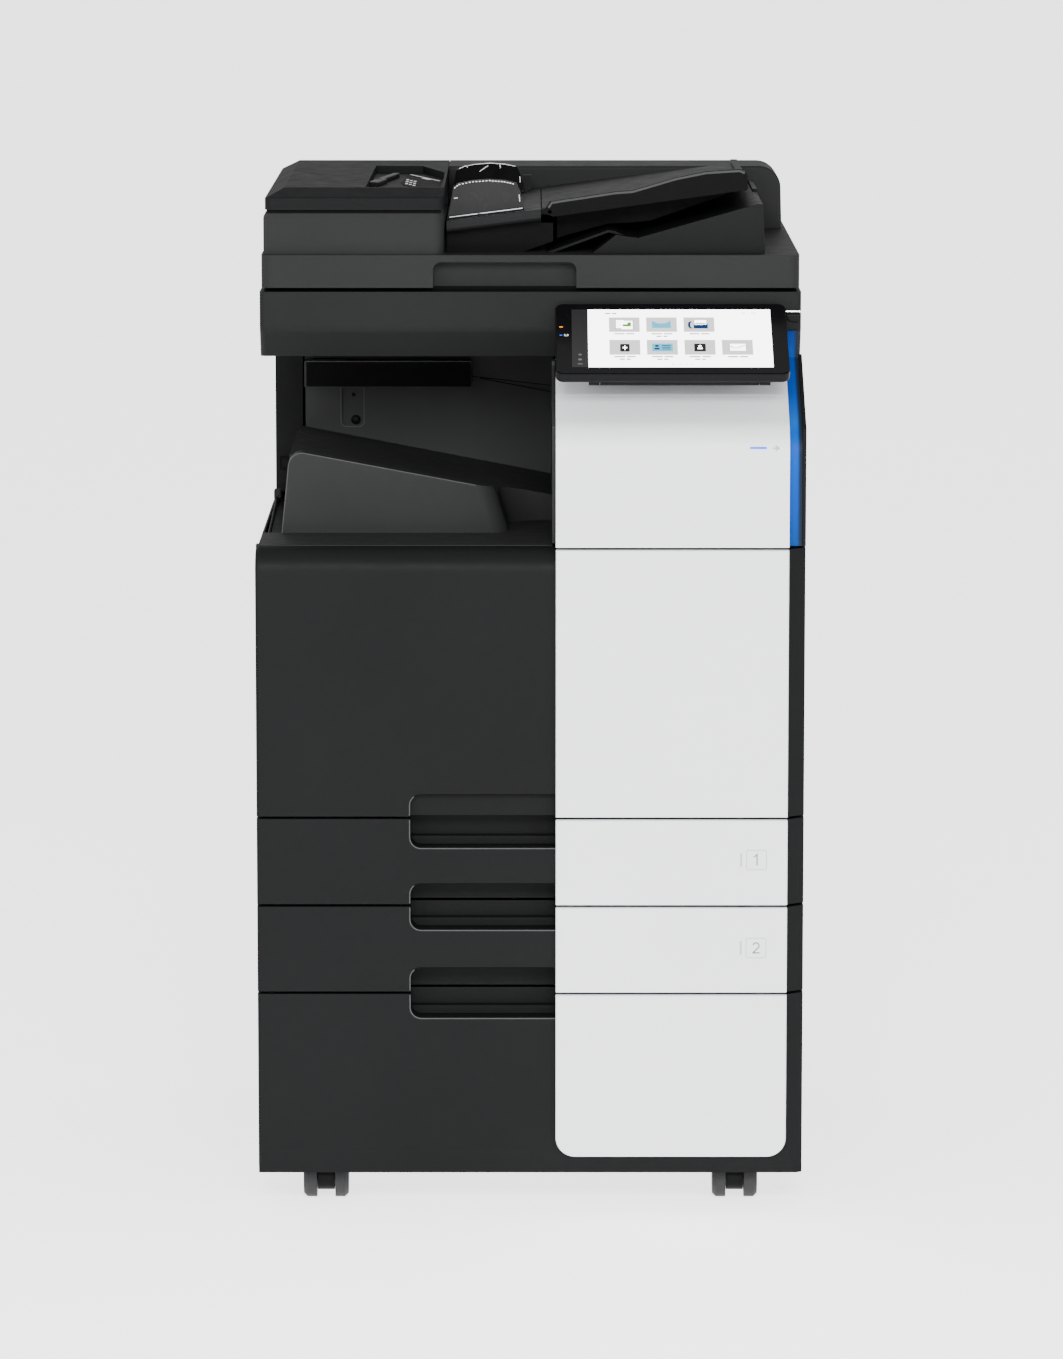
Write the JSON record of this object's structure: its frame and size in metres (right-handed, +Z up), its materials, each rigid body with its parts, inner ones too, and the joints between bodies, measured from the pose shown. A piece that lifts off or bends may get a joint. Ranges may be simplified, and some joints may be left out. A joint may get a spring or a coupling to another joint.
{
  "type": "photocopier",
  "caption": "Office A3 photocopier with document feeder, tilting touch panel, output bay, front doors, paper trays and a storage drawer on swivel casters.",
  "frame": {"origin": "middle of the footprint, on the floor under the casters", "axes": "+X to the machine's right as seen from the front, -Y to the front, +Z up"},
  "size_m": [0.615, 0.688, 1.1664],
  "materials": {
    "dark_plastic": "fine texture, satin",
    "black_plastic": "smooth satin",
    "grey_plastic": "smooth satin",
    "light_plastic": "smooth satin",
    "blue_plastic": "semi-gloss",
    "clear_plastic": "smooth",
    "white_pad": "soft matt",
    "steel": "zinc plated",
    "rubber": "matt",
    "belt_film": "glossy film",
    "glass": "clear",
    "screen_glass": "polished"
  },
  "bodies": {
    "frame": {"cabinet_frame": "steel", "left_covers": "dark_plastic", "right_covers": "dark_plastic", "rear_cover": "dark_plastic", "power_inlet": "black_plastic", "main_frame": "steel", "shoulder_cover": "light_plastic", "accent_strip": "blue_plastic", "inner_front_cover": "grey_plastic", "waste_toner_box": "clear_plastic", "imaging_units": "black_plastic", "toner_cartridges": "black_plastic", "transfer_belt": "belt_film", "fuser_housing": "steel", "output_tray": "dark_plastic", "bay_cover": "dark_plastic", "scanner_housing": "dark_plastic", "platen_glass": "glass", "panel_arm": "dark_plastic", "adf_hinges": "steel"},
    "storage_drawer": {"storage_drawer_front": "dark_plastic", "storage_drawer_plate": "light_plastic", "storage_drawer_box": "grey_plastic"},
    "tray_1": {"tray_1_front": "dark_plastic", "tray_1_plate": "light_plastic", "tray_1_box": "grey_plastic"},
    "tray_1_lift": {"tray_1_lift_plate": "steel"},
    "tray_2": {"tray_2_front": "dark_plastic", "tray_2_plate": "light_plastic", "tray_2_box": "grey_plastic"},
    "tray_2_lift": {"tray_2_lift_plate": "steel"},
    "front_door_lower": {"lower_door": "dark_plastic", "lower_door_plate": "light_plastic"},
    "front_door_upper": {"upper_door": "light_plastic"},
    "side_door": {"right_door": "dark_plastic"},
    "bypass": {"bypass_tray": "dark_plastic"},
    "bypass_slider": {"bypass_extension": "dark_plastic"},
    "panel": {"panel_housing": "black_plastic", "panel_glass": "screen_glass"},
    "carriage": {"scan_carriage": "black_plastic"},
    "heat": {"heat_roller": "rubber"},
    "pressure": {"pressure_roller": "rubber"},
    "lid": {"adf_base": "dark_plastic", "platen_pad": "white_pad", "feeder_body": "dark_plastic", "feed_table": "dark_plastic", "adf_exit_tray": "dark_plastic"},
    "lid_cover": {"feeder_cover": "dark_plastic"},
    "pickup": {"feed_roller": "rubber"},
    "document_tray": {"original_tray": "dark_plastic"},
    "front_guide": {"guide_front": "black_plastic"},
    "rear_guide": {"guide_rear": "black_plastic"},
    "caster_front_left": {"caster_front_left_housing": "black_plastic"},
    "wheels_front_left": {"caster_front_left_wheels": "rubber"},
    "caster_front_right": {"caster_front_right_housing": "black_plastic"},
    "wheels_front_right": {"caster_front_right_wheels": "rubber"},
    "caster_rear_left": {"caster_rear_left_housing": "black_plastic"},
    "wheels_rear_left": {"caster_rear_left_wheels": "rubber"},
    "caster_rear_right": {"caster_rear_right_housing": "black_plastic"},
    "wheels_rear_right": {"caster_rear_right_wheels": "rubber"}
  },
  "joints": [
    {"name": "storage_drawer_slide", "type": "slide", "parent": "frame", "child": "storage_drawer", "axis": [0, -1, 0], "range_m": [0, 0.42]},
    {"name": "tray_2_slide", "type": "slide", "parent": "frame", "child": "tray_2", "axis": [0, -1, 0], "range_m": [0, 0.4]},
    {"name": "tray_1_slide", "type": "slide", "parent": "frame", "child": "tray_1", "axis": [0, -1, 0], "range_m": [0, 0.4]},
    {"name": "tray_1_lift_tilt", "type": "hinge", "parent": "tray_1", "child": "tray_1_lift", "pos_m": [-0.215, 0, 0.3705], "axis": [0, -1, 0], "range_deg": [0, 7]},
    {"name": "tray_2_lift_tilt", "type": "hinge", "parent": "tray_2", "child": "tray_2_lift", "pos_m": [-0.215, 0, 0.2705], "axis": [0, -1, 0], "range_deg": [0, 7]},
    {"name": "lower_door_open", "type": "hinge", "parent": "frame", "child": "front_door_lower", "pos_m": [0, -0.3305, 0.457], "axis": [1, 0, 0], "range_deg": [0, 85]},
    {"name": "upper_door_open", "type": "hinge", "parent": "frame", "child": "front_door_upper", "pos_m": [0, -0.3305, 0.762], "axis": [1, 0, 0], "range_deg": [0, 80]},
    {"name": "side_door_open", "type": "hinge", "parent": "frame", "child": "side_door", "pos_m": [0.2995, 0.233, 0], "axis": [0, 0, 1], "range_deg": [0, 80]},
    {"name": "bypass_open", "type": "hinge", "parent": "side_door", "child": "bypass", "pos_m": [0.3043, 0, 0.506], "axis": [0, 1, 0], "range_deg": [0, 70]},
    {"name": "bypass_extend", "type": "slide", "parent": "bypass", "child": "bypass_slider", "axis": [0, 0, 1], "range_m": [0, 0.12]},
    {"name": "panel_tilt", "type": "hinge", "parent": "frame", "child": "panel", "pos_m": [0, -0.318, 0.9425], "axis": [1, 0, 0], "range_deg": [0, 45]},
    {"name": "carriage_travel", "type": "slide", "parent": "frame", "child": "carriage", "axis": [1, 0, 0], "range_m": [0, 0.46]},
    {"name": "heat_roller_spin", "type": "hinge", "parent": "frame", "child": "heat", "pos_m": [0.232, 0, 0.712], "axis": [0, 1, 0], "continuous": true},
    {"name": "pressure_roller_spin", "type": "hinge", "parent": "frame", "child": "pressure", "pos_m": [0.2623, 0, 0.712], "axis": [0, 1, 0], "continuous": true},
    {"name": "lid_open", "type": "hinge", "parent": "frame", "child": "lid", "pos_m": [0, 0.318, 1.046], "axis": [-1, 0, 0], "range_deg": [0, 65]},
    {"name": "feeder_cover_open", "type": "hinge", "parent": "lid", "child": "lid_cover", "pos_m": [-0.292, 0, 1.1117], "axis": [0, -1, 0], "range_deg": [0, 75]},
    {"name": "pickup_spin", "type": "hinge", "parent": "lid", "child": "pickup", "pos_m": [-0.117, 0, 1.116], "axis": [0, 1, 0], "continuous": true},
    {"name": "document_tray_lift", "type": "hinge", "parent": "lid", "child": "document_tray", "pos_m": [0.022, 0, 1.11801], "axis": [0, -1, 0], "range_deg": [0, 30]},
    {"name": "front_guide_slide", "type": "slide", "parent": "lid", "child": "front_guide", "axis": [0, 1, 0], "range_m": [0, 0.09]},
    {"name": "rear_guide_slide", "type": "slide", "parent": "lid", "child": "rear_guide", "axis": [0, 1, 0], "range_m": [-0.09, 0]},
    {"name": "swivel_front_left", "type": "hinge", "parent": "frame", "child": "caster_front_left", "pos_m": [-0.233, -0.245, 0.062], "axis": [0, 0, 1], "continuous": true},
    {"name": "roll_front_left", "type": "hinge", "parent": "caster_front_left", "child": "wheels_front_left", "pos_m": [-0.233, -0.261, 0.024], "axis": [1, 0, 0], "continuous": true},
    {"name": "swivel_front_right", "type": "hinge", "parent": "frame", "child": "caster_front_right", "pos_m": [0.233, -0.245, 0.062], "axis": [0, 0, 1], "continuous": true},
    {"name": "roll_front_right", "type": "hinge", "parent": "caster_front_right", "child": "wheels_front_right", "pos_m": [0.233, -0.261, 0.024], "axis": [1, 0, 0], "continuous": true},
    {"name": "swivel_rear_left", "type": "hinge", "parent": "frame", "child": "caster_rear_left", "pos_m": [-0.233, 0.28, 0.062], "axis": [0, 0, 1], "continuous": true},
    {"name": "roll_rear_left", "type": "hinge", "parent": "caster_rear_left", "child": "wheels_rear_left", "pos_m": [-0.233, 0.264, 0.024], "axis": [1, 0, 0], "continuous": true},
    {"name": "swivel_rear_right", "type": "hinge", "parent": "frame", "child": "caster_rear_right", "pos_m": [0.233, 0.28, 0.062], "axis": [0, 0, 1], "continuous": true},
    {"name": "roll_rear_right", "type": "hinge", "parent": "caster_rear_right", "child": "wheels_rear_right", "pos_m": [0.233, 0.264, 0.024], "axis": [1, 0, 0], "continuous": true}
  ],
  "couplings": [
    {"joint": "pressure_roller_spin", "follows": "heat_roller_spin", "ratio": -1},
    {"joint": "rear_guide_slide", "follows": "front_guide_slide", "ratio": -1}
  ]
}
